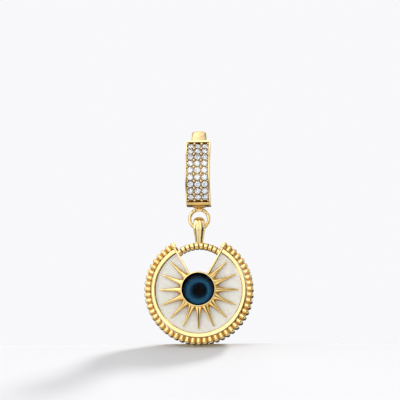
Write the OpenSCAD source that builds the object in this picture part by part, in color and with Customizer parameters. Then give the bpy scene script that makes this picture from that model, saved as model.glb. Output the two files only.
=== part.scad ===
// Evil eye pendant. A closed bail hoop, set with diamonds in front, carries a soldered ring.
// A medallion hangs from that ring by its own ribbed loop and swings to the front and the back.
// Millimetres. +Z is up and the front faces -Y. The origin is the inside top of the hoop.

/* [Hoop of the bail] */
// Width of the hoop's strap from left to right
strap_w = 2.1; // [1.8:0.1:2.6]
// Thickness of the strap
strap_t = 0.8; // [0.7:0.05:0.9]
// How far the strap's outer face is domed across its width
strap_dome_h = 0.28; // [0.1:0.02:0.36]
// Inner radius at the top of the hoop, where the chain sits
seat_r = 1.0; // [0.8:0.05:1.2]
// Inner radius at the foot of the hoop
foot_r = 1.5; // [1.2:0.1:1.8]
// Height from the inside top of the hoop to the bottom of its foot
hoop_h = 10.93; // [10.9:0.01:11.3]
// How far the hoop's back stands behind the chain seat
back_reach = 3.6; // [3.4:0.1:4]
// Radius of the hoop's back
back_r = 4.6; // [4.2:0.1:5]

/* [Pave tray] */
// Radius of the curve on which the stones' tables lie
face_r = 6.15; // [6.05:0.05:6.3]
// How far the stones stand in front of the chain seat
face_reach = 4.3; // [4.2:0.05:4.5]
// Drop from the chain seat to the middle row of stones
face_drop = 5.8; // [5.7:0.05:5.9]
// Thickness of the tray behind the stones' tables
tray_t = 1.55; // [1.4:0.05:1.7]
// How far the tray's rim stands above the stones' tables
rim_rise = 0.05; // [0:0.01:0.1]
// Width of the rim at the left and right of the stones
rim_w = 0.2; // [0.15:0.01:0.35]
// Width of the rim above and below the stones
end_w = 0.5; // [0.4:0.02:0.6]
// Space from the last row of beads to that rim
field_gap = 0.3; // [0.24:0.02:0.36]
// Depth of the tray's floor below the stones' tables
floor_depth = 0.3; // [0.24:0.02:0.36]
// Depth of the strap's outer face below the stones' tables, in front
strap_depth = 1.05; // [0.95:0.05:1.15]

/* [Stones] */
// Rows of stones up the tray
stone_rows = 9; // [7:2:9]
// Columns of stones across the tray
stone_cols = 3; // [3:2:5]
// Diameter of a stone at its girdle
stone_d = 0.95; // [0.85:0.01:0.98]
// Space between the girdles of neighbouring stones
stone_gap = 0.12; // [0.1:0.01:0.16]
// Height of a stone's crown above the girdle
crown_h = 0.14; // [0.1:0.01:0.16]
// Thickness of a stone's girdle
girdle_h = 0.03; // [0.02:0.01:0.04]
// Depth of a stone's pavilion below the girdle
pavilion_h = 0.4; // [0.35:0.01:0.44]
// Diameter of a stone's table
table_d = 0.54; // [0.48:0.01:0.6]
// Facets round a stone
stone_facets = 8; // [8:1:10]
// Clearance between a stone and its drilled seat
seat_clear = 0.03; // [0.02:0.01:0.04]
// Diameter of the gold beads at the corners of the stones
bead_d = 0.42; // [0.36:0.01:0.46]

/* [Soldered ring] */
// Diameter of the ring through the middle of its wire
ring_d = 2.85; // [2.75:0.05:3.1]
// Diameter of the ring's wire
ring_wire = 0.5; // [0.4:0.02:0.52]
// How deep the ring is soldered into the foot of the hoop
ring_bite = 0.05; // [0.04:0.01:0.08]

/* [Loop of the medallion] */
// Width across the two ribs at the crown
loop_w = 1.73; // [1.6:0.01:1.78]
// Width across the two ribs at the foot
loop_foot_w = 0.95; // [0.85:0.05:1.2]
// Thickness of the loop at its crown
loop_crown = 1.34; // [1.1:0.02:1.4]
// Thickness of its legs below the crown
loop_leg = 0.7; // [0.5:0.02:0.75]
// Thickness of its legs at the foot
loop_foot_t = 0.5; // [0.4:0.02:0.52]
// Play between the ring's wire and the loop
loop_play = 0.2; // [0.18:0.01:0.26]
// Length of the legs from the ring's wire to the notch bar
loop_len = 2.11; // [2:0.05:2.4]
// Gap between the front and the back leg at their feet
foot_gap = 0.2; // [0.15:0.01:0.22]

/* [Fluted frame] */
// Outer diameter over the flutes
frame_d = 16.26; // [16.16:0.05:17]
// Thickness of the frame from front to back
frame_t = 3.0; // [2.9:0.05:3.2]
// Radial width of the fluted band
flute_band = 1.0; // [0.9:0.02:1.06]
// Depth of the grooves between the flutes
flute_depth = 0.26; // [0.15:0.01:0.3]
// Flutes in a full circle
flute_count = 54; // [48:6:60]
// Opening angle of the notch at the top, in degrees
notch_deg = 60; // [60:0.1:60.5]
// Thickness of the two walls of the notch
wall_t = 0.25; // [0.2:0.01:0.28]
// Width of the smooth post at each end of the flutes
post_w = 0.45; // [0.4:0.05:0.6]
// How far the posts stop short of the frame's outer edge
post_short = 0.12; // [0.05:0.01:0.3]
// Radius of the bar that bridges the notch, at its middle
bar_r = 5.05; // [4.95:0.05:5.2]
// Height of the bar's centre above the medallion's centre
bar_rise = 1.63; // [1.55:0.01:1.7]
// Radial thickness of the bar
bar_t = 1.06; // [0.95:0.01:1.1]
// Depth of the bar from front to back
bar_depth = 2.0; // [1.9:0.05:2.2]
// Flutes along the bar
bar_flutes = 10; // [8:1:12]

/* [Inlay] */
// Width of the smooth rim round the inlay
smooth_rim_w = 0.58; // [0.5:0.01:0.64]
// How far the smooth rim stands in front of the frame's front plane
smooth_rim_rise = 0.12; // [0.05:0.01:0.2]
// Thickness of the plate behind the inlay
plate_t = 0.8; // [0.6:0.05:0.9]
// Depth of the mother-of-pearl below the frame's front plane
pearl_sink = 0.35; // [0.25:0.01:0.4]
// Gap between pieces that are set into each other
fit_gap = 0.05; // [0.03:0.01:0.06]

/* [Sunburst and eye] */
// Diameter of the glass eye
eye_d = 4.76; // [4.6:0.02:4.9]
// Wall of the bezel round the eye
bezel_t = 0.2; // [0.16:0.01:0.24]
// How far the bezel stands in front of the frame's front plane
bezel_rise = 1.1; // [0.9:0.05:1.3]
// Radius to the tips of the rays
ray_tip_r = 5.93; // [5.7:0.01:6]
// Radius to the valleys between the rays
ray_valley_r = 3.0; // [2.95:0.05:3.1]
// Radius at which a ray narrows to its point
ray_shoulder_r = 3.6; // [3.5:0.05:3.9]
// Width of a ray at that radius
ray_w = 0.6; // [0.5:0.02:0.7]
// Rays that fit in a full circle; those in the notch are left out
ray_count = 16; // [16:16:16]
// Rays left out at the notch
rays_in_notch = 3; // [3:1:3]
// Height of the ray tips above the underside of the sunburst
tip_h = 0.14; // [0.1:0.01:0.2]
// Height of the valleys above the underside of the sunburst
valley_h = 0.2; // [0.15:0.01:0.3]
// Thickness of the floor under the eye
eye_floor = 0.25; // [0.2:0.01:0.3]
// Thickness of the blue disc
iris_t = 0.3; // [0.25:0.01:0.35]
// Diameter of the blue disc
iris_d = 4.3; // [4.1:0.05:4.4]
// Thickness of the black pupil
pupil_t = 0.12; // [0.1:0.01:0.16]
// Diameter of the black pupil
pupil_d = 2.3; // [2.1:0.05:2.5]
// How far the pupil sits to the right of the middle
pupil_right = 0.12; // [0:0.01:0.2]
// How far the pupil sits below the middle
pupil_down = 0.12; // [0:0.01:0.2]
// How far the glass dome stands in front of the bezel
dome_rise = 0.45; // [0.35:0.01:0.55]
// Straight edge of the glass inside the bezel
glass_edge = 0.45; // [0.35:0.01:0.5]

/* [Hidden] */
stone_names = [for (row = [1 : stone_rows]) for (col = [1 : stone_cols]) stone_name(row, col)];
$fn = 96;

// Colours
gold = [0.93, 0.75, 0.36];
diamond = [0.9, 0.93, 0.97];
pearl = [0.9, 0.87, 0.82];
blue = [0.13, 0.38, 0.56];
black = [0.03, 0.03, 0.04];
glass = [0.1, 0.25, 0.42, 0.5];

// The hoop's side outline is the hull of four discs: [y, z, outer radius]
tray_y = face_r - face_reach;
disc_top = [0, -seat_r, seat_r + strap_t];
disc_foot = [0, -hoop_h + foot_r + strap_t, foot_r + strap_t];
disc_front = [tray_y, -face_drop, face_r - strap_depth];
disc_back = [back_reach - back_r, -face_drop, back_r];
hoop_step = 6;
dome_points = 6;
strap_chamfer = 0.1;

// The tray and its grid of stones
pitch = stone_d + stone_gap;
pitch_deg = arc_deg(pitch, face_r);
field_half_deg = stone_rows / 2 * pitch_deg + arc_deg(field_gap, face_r);
tray_half_deg = field_half_deg + arc_deg(end_w, face_r);
tray_outer_r = face_r + rim_rise;
field_w = stone_cols * pitch;
tray_w = field_w + 2 * rim_w;
floor_r = face_r - floor_depth;
girdle_r = face_r - crown_h;
culet_r = girdle_r - girdle_h - pavilion_h;
tray_under = 0.12;
bead_root = 0.1;
bead_shoulder = 0.2;
bead_top = 0.55;
bead_sides = 10;
seat_sides = 16;
seat_point_r = 0.02;
ring_sides = 14;
ring_steps = 60;

// The ring, and the line about which the medallion swings
ring_r = ring_d / 2;
ring_z = -hoop_h - ring_r - ring_wire / 2 + ring_bite;
pivot_z = ring_z - ring_r;

// The loop
loop_in_r = ring_wire / 2 + loop_play;
crown_step = 15;
rib_share = 0.56;
rib_end_deg = acos(-(1 - rib_share) / rib_share);
rib_points = 8;
foot_bite = 0.45;

// The medallion, in its own plane: x to the right, y up and z to the front
frame_r = frame_d / 2;
front_z = frame_t / 2;
bar_z = bar_r + bar_t / 2 + bar_rise;
medallion_z = pivot_z - loop_len - bar_z;
band_r = frame_r - flute_band;
flute_deg = 360 / flute_count;
flutes = round((360 - notch_deg) / flute_deg);
flute_samples = 4;
groove_slant = 0.8;
notch_start = 90 - notch_deg / 2;
hub_r = eye_d / 2 + fit_gap + bezel_t;
rim_out_r = band_r - fit_gap;
rim_in_r = rim_out_r - smooth_rim_w;
rim_top_z = front_z + smooth_rim_rise;
pearl_z = front_z - pearl_sink;
burst_z = pearl_z + fit_gap;
bezel_z = front_z + bezel_rise;
iris_z = burst_z + eye_floor + fit_gap / 2;
pupil_z = iris_z + iris_t + fit_gap / 2;
glass_z = pupil_z + pupil_t + fit_gap / 2;
dome_z = glass_z + glass_edge;
dome_h = bezel_z + dome_rise - dome_z;
dome_r = (pow(eye_d / 2, 2) + pow(dome_h, 2)) / (2 * dome_h);
ray_step = 360 / ray_count;
rays = ray_count - rays_in_notch;
ray_root_r = hub_r - bezel_t / 2;
bezel_foot_w = 0.1;
post_sides = 12;

// The band's section from the inside outwards: [share of its width, share of its half thickness,
// share of the flute depth that a groove takes off there]
band_section = [
    [0.00, 0.82, 1.2],
    [0.28, 0.98, 1.0],
    [0.68, 0.93, 1.0],
    [0.92, 0.74, 1.0],
    [1.00, 0.46, 1.0],
];

function stone_name(row, col) = str("pave_stone_", row, "_", col);
function arc_deg(length, radius) = length / radius * 180 / PI;
function row_deg(row) = ((stone_rows + 1) / 2 - row) * pitch_deg;
function col_x(col) = (col - (stone_cols + 1) / 2) * pitch;

// Support of one disc in the direction a of the y-z plane, for the hull of the hoop's outline
function reach(disc, a) = disc[0] * cos(a) + disc[1] * sin(a) + disc[2];
function hoop_discs(a) = cos(a) < 0 ? [disc_top, disc_foot, disc_front] : [disc_top, disc_foot, disc_back];
function farthest(discs, a) = [for (d = discs) if (reach(d, a) == max([for (e = discs) reach(e, a)])) d][0];
function hoop_point(a, depth) = let (d = farthest(hoop_discs(a), a))
    [d[0] + (d[2] - depth) * cos(a), d[1] + (d[2] - depth) * sin(a)];

// Section of the strap as [x, depth]: a domed outer face and a flat inner face with broken edges
strap_section = concat(
    [for (i = [0 : dome_points]) let (s = 2 * i / dome_points - 1) [s * strap_w / 2, strap_dome_h * s * s]],
    [[strap_w / 2, strap_t - strap_chamfer], [strap_w / 2 - strap_chamfer, strap_t],
     [-strap_w / 2 + strap_chamfer, strap_t], [-strap_w / 2, strap_t - strap_chamfer]]);

// Faces of a mesh of rings of n points: closed on itself, or with a cap at each end
function ring_faces(rings, n, closed) = concat(
    [for (i = [0 : rings - (closed ? 1 : 2)], j = [0 : n - 1])
        let (a = i * n + j, b = i * n + (j + 1) % n, c = ((i + 1) % rings) * n)
        each [[a, c + j, c + (j + 1) % n], [a, c + (j + 1) % n, b]]],
    closed ? [] : [[for (j = [0 : n - 1]) j], [for (j = [n - 1 : -1 : 0]) (rings - 1) * n + j]]);

module hoop() {
    stations = 360 / hoop_step;
    points = [for (i = [0 : stations - 1]) for (s = strap_section)
        let (p = hoop_point(-i * hoop_step, s[1])) [s[0], p[0], p[1]]];
    polyhedron(points, ring_faces(stations, len(strap_section), true));
}

// A side outline in the y-z plane, given a width along x
module across(width) {
    rotate([90, 0, 90]) linear_extrude(width, center = true) children();
}

module at_row(deg) {
    translate([0, tray_y, -face_drop]) rotate([-deg, 0, 0]) children();
}

module tray_blank() {
    bottom_z = -tray_outer_r * sin(tray_half_deg);
    far = 2 * tray_outer_r;
    tray_end = tray_under - tray_y;
    across(tray_w) translate([tray_y, -face_drop]) intersection() {
        difference() {
            circle(tray_outer_r);
            circle(face_r - tray_t);
        }
        polygon([[tray_end, bottom_z], [-far, bottom_z], [-far, far * sin(tray_half_deg)],
            [-far * cos(tray_half_deg), far * sin(tray_half_deg)], [0, 0], [tray_end, 0]]);
    }
}

module stone_field() {
    far = 2 * tray_outer_r;
    across(field_w) translate([tray_y, -face_drop]) intersection() {
        difference() {
            circle(far);
            circle(floor_r);
        }
        polygon([[0, 0], [-far, -far * tan(field_half_deg)], [-far, far * tan(field_half_deg)]]);
    }
}

module stone_seat() {
    rotate([90, 0, 0]) translate([0, 0, culet_r - seat_clear])
        cylinder(h = pavilion_h + seat_clear, r1 = seat_point_r, r2 = stone_d / 2 + seat_clear,
            $fn = seat_sides);
}

// A bead as a stem with a flat top, broken at its shoulder
module bead() {
    shoulder_h = bead_d * bead_shoulder;
    rotate([90, 0, 0]) hull() {
        translate([0, 0, floor_r - bead_root])
            cylinder(h = face_r - shoulder_h - floor_r + bead_root, d = bead_d, $fn = bead_sides);
        translate([0, 0, face_r - shoulder_h])
            cylinder(h = shoulder_h, d = bead_d * bead_top, $fn = bead_sides);
    }
}

module pave_tray() {
    difference() {
        tray_blank();
        stone_field();
        for (row = [1 : stone_rows], col = [1 : stone_cols])
            at_row(row_deg(row)) translate([col_x(col), 0, 0]) stone_seat();
    }
    for (row = [0 : stone_rows], col = [0 : stone_cols])
        at_row(row_deg(row + 0.5)) translate([col_x(col + 0.5), 0, 0]) bead();
}

module soldered_ring() {
    translate([0, 0, ring_z]) rotate([90, 0, 0]) rotate_extrude($fn = ring_steps)
        translate([ring_r, 0]) circle(d = ring_wire, $fn = ring_sides);
}

module bail() {
    color(gold) union() {
        hoop();
        pave_tray();
        soldered_ring();
    }
}

// A cut stone with a table, a faceted crown, a girdle and a pointed pavilion
module brilliant() {
    n = stone_facets;
    rings = [[table_d / 2, girdle_r + crown_h], [stone_d / 2, girdle_r],
        [stone_d / 2, girdle_r - girdle_h]];
    points = concat(
        [for (ring = rings) for (i = [0 : n - 1])
            [ring[0] * cos(360 * i / n), -ring[1], ring[0] * sin(360 * i / n)]],
        [[0, -culet_r, 0]]);
    faces = concat(
        [[for (i = [n - 1 : -1 : 0]) i]],
        [for (k = [0 : len(rings) - 2], i = [0 : n - 1])
            [k * n + i, k * n + (i + 1) % n, (k + 1) * n + (i + 1) % n, (k + 1) * n + i]],
        [for (i = [0 : n - 1]) [2 * n + i, 2 * n + (i + 1) % n, 3 * n]]);
    polyhedron(points, faces);
}

module pave_stone(row, col) {
    color(diamond) at_row(row_deg(row)) translate([col_x(col), 0, 0]) brilliant();
}

// Section of the loop as [x share, depth share]: two ribs side by side with a groove between them
rib = [for (i = [0 : rib_points - 1]) let (a = rib_end_deg * (1 - 2 * i / (rib_points - 1)))
    [1 - rib_share + rib_share * cos(a), sin(a)]];
loop_section = concat(rib, [for (i = [rib_points - 2 : -1 : 1]) [-rib[i][0], rib[i][1]]]);

// Stations from the front foot over the crown to the back foot: [y, z, direction, half depth, half width]
function crown_out_r(a) = loop_in_r + loop_leg + (loop_crown - loop_leg) * pow(sin(a), 2);
function leg_t(s) = loop_leg * (1 - s) + loop_foot_t * s;
function leg_mid(s) = (loop_in_r + loop_leg / 2) * (1 - s) + (foot_gap + loop_foot_t) / 2 * s;
function leg_w(s) = loop_w * (1 - s) + loop_foot_w * s;
function leg_station(s, side) = let (down = s * (loop_len + foot_bite))
    [side * leg_mid(s), -down, side > 0 ? 0 : 180, leg_t(s) / 2, leg_w(s) / 2];
crown_stations = [for (a = [180 : -crown_step : 0]) let (out = crown_out_r(a), mid = (loop_in_r + out) / 2)
    [mid * cos(a), mid * sin(a), a, (out - loop_in_r) / 2, loop_w / 2]];
leg_shares = [1, 0.75, 0.5, 0.25];
loop_stations = concat([for (s = leg_shares) leg_station(s, -1)], crown_stations,
    [for (i = [len(leg_shares) - 1 : -1 : 0]) leg_station(leg_shares[i], 1)]);

module medallion_loop() {
    points = [for (st = loop_stations) for (p = loop_section) let (d = p[1] * st[3])
        [p[0] * st[4], st[0] + d * cos(st[2]), pivot_z + st[1] + d * sin(st[2])]];
    polyhedron(points, ring_faces(len(loop_stations), len(loop_section), false));
}

module at_medallion() {
    translate([0, 0, medallion_z]) rotate([90, 0, 0]) children();
}

// Height of a flute across its width, from 0 in the groove to 1 on the crest
function flute_wave(u) = sqrt(max(0, 1 - pow(2 * u - 1, 2)));
function band_point(s, wave, side) = let (cut = flute_depth * s[2] * (1 - wave))
    [band_r + s[0] * flute_band - cut * s[0], side * (s[1] * front_z - cut * (1 - groove_slant * s[0]))];
function band_ring(wave) = concat(
    [for (s = band_section) band_point(s, wave, 1)],
    [for (i = [len(band_section) - 1 : -1 : 0]) band_point(band_section[i], wave, -1)]);

module fluted_band() {
    steps = flutes * flute_samples;
    sweep = 360 - notch_deg;
    points = [for (i = [0 : steps]) let (a = 180 - notch_start + sweep * i / steps,
            wave = flute_wave((i % flute_samples) / flute_samples))
        for (p = band_ring(wave)) [p[0] * cos(a), p[0] * sin(a), p[1]]];
    polyhedron(points, ring_faces(steps + 1, 2 * len(band_section), false));
}

// Section of the notch bar as shares of its half thickness and half depth
bar_corner = 0.7;
bar_sides = 10;
bar_section = [for (i = [0 : bar_sides - 1]) let (a = 360 * i / bar_sides)
    [cos(a), sign(sin(a)) * pow(abs(sin(a)), bar_corner)]];

// Size of the bar in a groove, as a share of its size on a crest
groove_share = 0.7;
bar_groove = 1 - 2 * groove_share * flute_depth / bar_t;

module notch_bar() {
    // The bar's own circle crosses each notch wall at this angle from the vertical
    cross_r = bar_rise * sin(notch_start) + sqrt(pow(bar_r, 2) - pow(bar_rise * cos(notch_start), 2));
    half = atan2(cross_r * cos(notch_start), cross_r * sin(notch_start) - bar_rise);
    steps = bar_flutes * flute_samples;
    points = [for (i = [0 : steps]) let (a = 90 + half - 2 * half * i / steps,
            size = bar_groove + (1 - bar_groove) * flute_wave((i % flute_samples) / flute_samples))
        for (s = bar_section) let (r = bar_r + s[0] * size * bar_t / 2)
            [r * cos(a), bar_rise + r * sin(a), s[1] * size * bar_depth / 2]];
    polyhedron(points, ring_faces(steps + 1, len(bar_section), false));
}

// One wall of the notch and the post at its outer end; side is 1 where the notch lies to the left of it
module notch_wall(deg, side) {
    start = hub_r + bezel_foot_w + fit_gap;
    post_r = post_w / 2;
    post_end = frame_r - post_short - post_r;
    notch_side = side * wall_t / 2;
    rotate([0, 0, deg]) translate([0, 0, -front_z]) linear_extrude(front_z + rim_top_z) {
        translate([start, -wall_t / 2]) square([band_r + post_r - start, wall_t]);
        translate([band_r, notch_side - side * post_r - post_r]) square([post_end - band_r, post_w]);
        translate([post_end, notch_side - side * post_r]) circle(post_r, $fn = post_sides);
    }
}

module fluted_frame() {
    color(gold) union() {
        medallion_loop();
        at_medallion() {
            fluted_band();
            notch_bar();
            notch_wall(notch_start, 1);
            notch_wall(180 - notch_start, -1);
        }
    }
}

// The notch, widened by the walls and a gap on each side, as seen from the front
module notch_cut() {
    grow = wall_t / 2 + fit_gap;
    far = 2 * frame_r;
    lift = grow / sin(notch_deg / 2);
    translate([0, -lift, -frame_t]) linear_extrude(3 * frame_t)
        polygon([[0, 0], [far * tan(notch_deg / 2), far], [-far * tan(notch_deg / 2), far]]);
}

module inlay_tray() {
    round_r = smooth_rim_w / 2;
    color(gold) at_medallion() {
        difference() {
            union() {
                translate([0, 0, -front_z]) cylinder(h = plate_t, r = rim_out_r);
                difference() {
                    translate([0, 0, -front_z]) cylinder(h = front_z + rim_top_z - round_r, r = rim_out_r);
                    translate([0, 0, -front_z]) cylinder(h = 2 * frame_t, r = rim_in_r);
                }
                translate([0, 0, rim_top_z - round_r]) rotate_extrude()
                    translate([rim_out_r - round_r, 0]) circle(round_r);
            }
            notch_cut();
        }
        translate([0, 0, -front_z]) cylinder(h = front_z + pearl_z, r = hub_r);
    }
}

module pearl_inlay() {
    color(pearl) at_medallion() difference() {
        translate([0, 0, plate_t - front_z + fit_gap])
            cylinder(h = front_z - plate_t - fit_gap + pearl_z, r = rim_in_r - fit_gap);
        translate([0, 0, -front_z]) cylinder(h = 2 * frame_t, r = hub_r + fit_gap);
        notch_cut();
    }
}

// The stations of one ray from its left valley on:
// [degrees past the valley, radius, height, share of the height at the root]
ray_half_deg = asin(ray_w / 2 / ray_shoulder_r);
ray_profile = [[0, ray_valley_r, valley_h, 0.5], [ray_step / 2 - ray_half_deg, ray_shoulder_r, valley_h, 0.8],
    [ray_step / 2, ray_tip_r, tip_h, 1], [ray_step / 2 + ray_half_deg, ray_shoulder_r, valley_h, 0.8]];

// The rays as one mesh of stations, each with its root at the bezel and its outer end
module ray_star() {
    root_h = bezel_z - burst_z - bezel_t;
    first = 90 - (rays_in_notch + 1) / 2 * ray_step + ray_step / 2;
    n = len(ray_profile);
    stations = n * rays + 1;
    points = [for (i = [0 : stations - 1])
        let (p = ray_profile[i % n], a = first - floor(i / n) * ray_step - p[0])
        each [[ray_root_r * cos(a), ray_root_r * sin(a), burst_z],
            [p[1] * cos(a), p[1] * sin(a), burst_z],
            [p[1] * cos(a), p[1] * sin(a), burst_z + p[2]],
            [ray_root_r * cos(a), ray_root_r * sin(a), burst_z + root_h * p[3]]]];
    faces = concat(
        [for (i = [0 : stations - 2]) let (a = 4 * i, b = a + 4, falls = i % n >= n / 2) each [
            [a, b, b + 1], [a, b + 1, a + 1],
            [a + 1, b + 1, b + 2], [a + 1, b + 2, a + 2],
            falls ? [a + 2, b + 2, a + 3] : [a + 2, b + 2, b + 3],
            falls ? [b + 2, b + 3, a + 3] : [a + 2, b + 3, a + 3],
            [a + 3, b + 3, b], [a + 3, b, a]]],
        [[0, 1, 2, 3], [for (j = [3 : -1 : 0]) 4 * (stations - 1) + j]]);
    polyhedron(points, faces);
}

module bezel() {
    inner = eye_d / 2 + fit_gap;
    foot = hub_r + bezel_foot_w;
    rotate_extrude() polygon([[0, burst_z], [foot, burst_z], [foot, burst_z + valley_h],
        [hub_r, burst_z + 2 * valley_h], [hub_r, bezel_z - bezel_t / 2], [hub_r - bezel_t / 2, bezel_z],
        [inner, bezel_z], [inner, burst_z + eye_floor], [0, burst_z + eye_floor]]);
}

module sunburst() {
    color(gold) at_medallion() union() {
        ray_star();
        bezel();
    }
}

module glass_eye() {
    color(glass) at_medallion() intersection() {
        translate([0, 0, glass_z]) cylinder(h = glass_edge + dome_h, d = eye_d);
        translate([0, 0, dome_z + dome_h - dome_r]) sphere(dome_r);
    }
}

module eye_iris() {
    color(blue) at_medallion() translate([0, 0, iris_z]) cylinder(h = iris_t, d = iris_d);
}

module eye_pupil() {
    color(black) at_medallion() translate([pupil_right, -pupil_down, pupil_z])
        cylinder(h = pupil_t, d = pupil_d);
}

bail();
for (row = [1 : stone_rows], col = [1 : stone_cols])
    pave_stone(row, col);
fluted_frame();
inlay_tray();
pearl_inlay();
sunburst();
glass_eye();
eye_iris();
eye_pupil();
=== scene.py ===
import math
from math import cos, pi, radians, sin, sqrt

import bmesh
import bpy
from mathutils import Matrix, Vector


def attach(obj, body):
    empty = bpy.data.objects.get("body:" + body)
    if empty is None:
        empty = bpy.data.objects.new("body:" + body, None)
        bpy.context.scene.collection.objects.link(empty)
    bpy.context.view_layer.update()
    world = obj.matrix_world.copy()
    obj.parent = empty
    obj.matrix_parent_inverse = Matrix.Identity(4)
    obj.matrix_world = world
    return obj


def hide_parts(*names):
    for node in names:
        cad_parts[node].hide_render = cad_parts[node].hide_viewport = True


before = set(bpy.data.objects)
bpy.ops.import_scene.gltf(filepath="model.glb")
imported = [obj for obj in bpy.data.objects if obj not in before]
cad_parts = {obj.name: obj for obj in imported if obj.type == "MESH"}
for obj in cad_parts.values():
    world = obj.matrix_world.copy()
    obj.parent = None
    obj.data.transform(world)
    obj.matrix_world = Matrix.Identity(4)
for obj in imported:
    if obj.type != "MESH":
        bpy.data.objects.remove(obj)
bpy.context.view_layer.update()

# Every piece is modelled in millimetres and brought to metres when it is finished.
MM = 0.001

# The hoop: [y, z, outer radius] of the discs that its outline wraps, as in the CAD model
STRAP_W, STRAP_T, STRAP_DOME, STRAP_CORNER, STRAP_EDGE = 2.1, 0.8, 0.06, 0.36, 0.12
DISC_TOP, DISC_FOOT = (0.0, -1.0, 1.8), (0.0, -8.63, 2.3)
DISC_FRONT, DISC_BACK = (1.85, -5.8, 5.1), (-1.0, -5.8, 4.6)
HOOP_STATIONS = 144

# The stone tray: the curve of the stones' tables, its grid, and heights above the tables
FACE_R, TRAY_Y, TRAY_MID_Z = 6.15, 1.85, -5.8
ROWS, COLS, PITCH = 9, 3, 1.07
FLOOR_W, RIM_W, BACK_W = -0.32, 0.05, -1.55
SEAT_SIDES, SEAT_R, SEAT_DEPTH, SEAT_FOOT_SHARE = 16, 0.41, 0.38, 0.2
# From the field over the rim and down to the back: [half across, half along, height]
TRAY_STEPS = ((1.606, 5.09, FLOOR_W), (1.61, 5.115, 0.02), (1.625, 5.15, RIM_W),
              (1.785, 5.56, RIM_W), (1.805, 5.595, 0.01), (1.805, 5.615, -1.5),
              (1.76, 5.57, BACK_W), (0.0, 5.5, BACK_W))
# What lies beyond this, at the lower end of the back, is drawn to the hoop's foot
TRAY_END_V, TRAY_END_W = -5.45, -1.4
TRAY_FOOT_Y, TRAY_FOOT_Z, TRAY_FOOT_LIP = 0.12, -10.71, 0.02
# The seats' painted shade: inside this half width, between these depths below the tables
SEATS_HALF_X, SEATS_HIGH, SEATS_LOW = 1.61, 0.15, 1.2

# The beads, and how those beside the rim are moved in and made smaller
BEAD_R, BEAD_SINK, BEAD_ROOT = 0.235, 0.8, 0.12
RIM_BEAD_SHIFT, RIM_BEAD_SIZE = 0.925, 0.75

# A stone's corners from the table to its point
TABLE_R, STAR_R, STAR_DEPTH, STONE_R = 0.26, 0.40, 0.062, 0.465
CROWN_H, GIRDLE_H, PAVILION_H = 0.14, 0.03, 0.42
LOWER_R, LOWER_SHARE, POINT_R = 0.12, 0.82, 0.008
STONE_TURN = 11.0

# The ring with its solder foot, and the medallion's loop
RING_R, WIRE_R, RING_Z = 1.425, 0.25, -12.555
SOLDER_HEIGHT, SOLDER_SPREAD = 0.05, (1.1, 1.3, 1)
PIVOT_Z = RING_Z - RING_R
LOOP_IN_R, LOOP_LEG, LOOP_CROWN = 0.45, 0.7, 1.34
LOOP_W, LOOP_FOOT_W, LOOP_FOOT_T, LOOP_FOOT_GAP = 1.73, 0.95, 0.5, 0.2
LOOP_LEN, LOOP_BITE = 2.11, 0.45
LOOP_SPREAD, LOOP_SPREAD_FROM = 0.18, 0.8
LOOP_CHANNEL, LOOP_CHANNEL_W, LOOP_ROUND = 0.1, 0.13, 0.6

# The medallion, about its own centre: depths are to the front
CENTRE_Z = -23.3
FRONT, BAND_R = 1.5, 7.13
FLUTES, FLUTE_DEPTH, GROOVE_SHARE = 46, 0.24, 0.68
# The band's section from the smooth rim outwards: [out from BAND_R, share of its half thickness]
BAND = ((0.0, 0.93), (0.03, 0.965), (0.08, 0.98), (0.2, 0.985), (0.32, 0.983), (0.44, 0.98),
        (0.56, 0.976), (0.66, 0.97), (0.75, 0.96), (0.83, 0.94), (0.89, 0.91), (0.94, 0.865),
        (0.975, 0.8), (0.995, 0.72), (1.0, 0.6), (1.0, 0.3), (1.0, 0.0))
NOTCH_START, NOTCH_SWEEP = 120.0, 300.0
BAR_R, BAR_RISE, BAR_T, BAR_DEPTH = 5.05, 1.63, 1.06, 2.0
BAR_FLUTES, BAR_HALF, BAR_SLOT, BAR_NOSE, BAR_SLOT_SHARE = 10, 39.29, 0.5, 8, 0.12
BAR_SQUARE_R, BAR_SQUARE_Y = 0.75, 0.6
WALL_T, WALL_START, WALL_END, WALL_BEVEL, WALL_GAP, RIM_TOP = 0.25, 2.78, 7.38, 0.05, 0.05, 1.62
POST_W, POST_END, POST_BACK, POST_OUT = 0.5, 8.06, -1.48, 7.6
POST_ROUND, POST_BEVEL = 0.24, 0.07
RIM_OUT, RIM_IN, RIM_ROUND, RIM_CROWN, RIM_FOOT = 7.08, 6.5, 0.07, 0.02, 0.06
PLATE_T, PEARL_TOP, PEARL_GAP, PEARL_EDGE, BURST, HUB_R = 0.8, 1.15, 0.05, 0.03, 1.2, 2.63
BEZEL_TOP, BEZEL_FLOOR, BEZEL_HOLE, EYE_R, EYE_GAP = 2.6, 0.25, 0.6, 2.38, 0.05
RAYS, RAY_STEP, FIRST_RAY, RAY_POWER = 13, 22.5, 135.0, 1.3
# A ray from its root to its tip: [radius, half width, height of its edge, height of its ridge]
RAY = ((2.50, 0.64, 0.26, 1.15), (2.80, 0.57, 0.22, 1.0), (3.10, 0.47, 0.19, 0.88),
       (3.40, 0.39, 0.17, 0.77), (3.80, 0.315, 0.15, 0.64), (4.50, 0.245, 0.12, 0.46),
       (5.30, 0.17, 0.09, 0.29), (5.80, 0.11, 0.06, 0.18), (5.93, 0.05, 0.04, 0.1))
IRIS_LOW, IRIS_HIGH, IRIS_R = 1.475, 1.775, 2.15
PUPIL_LOW, PUPIL_EDGE, PUPIL_HIGH, PUPIL_R, PUPIL_X, PUPIL_UP = 1.8, 1.85, 1.92, 1.15, 0.12, -0.12
GLASS_LOW, GLASS_EDGE, GLASS_TOP = 1.945, 2.395, 3.05

# The smallest radius of a ring of points that closes a turned piece, and the depth of bumps
AXIS_R = 0.0005
BUMP_DEPTH = 0.00002

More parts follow.
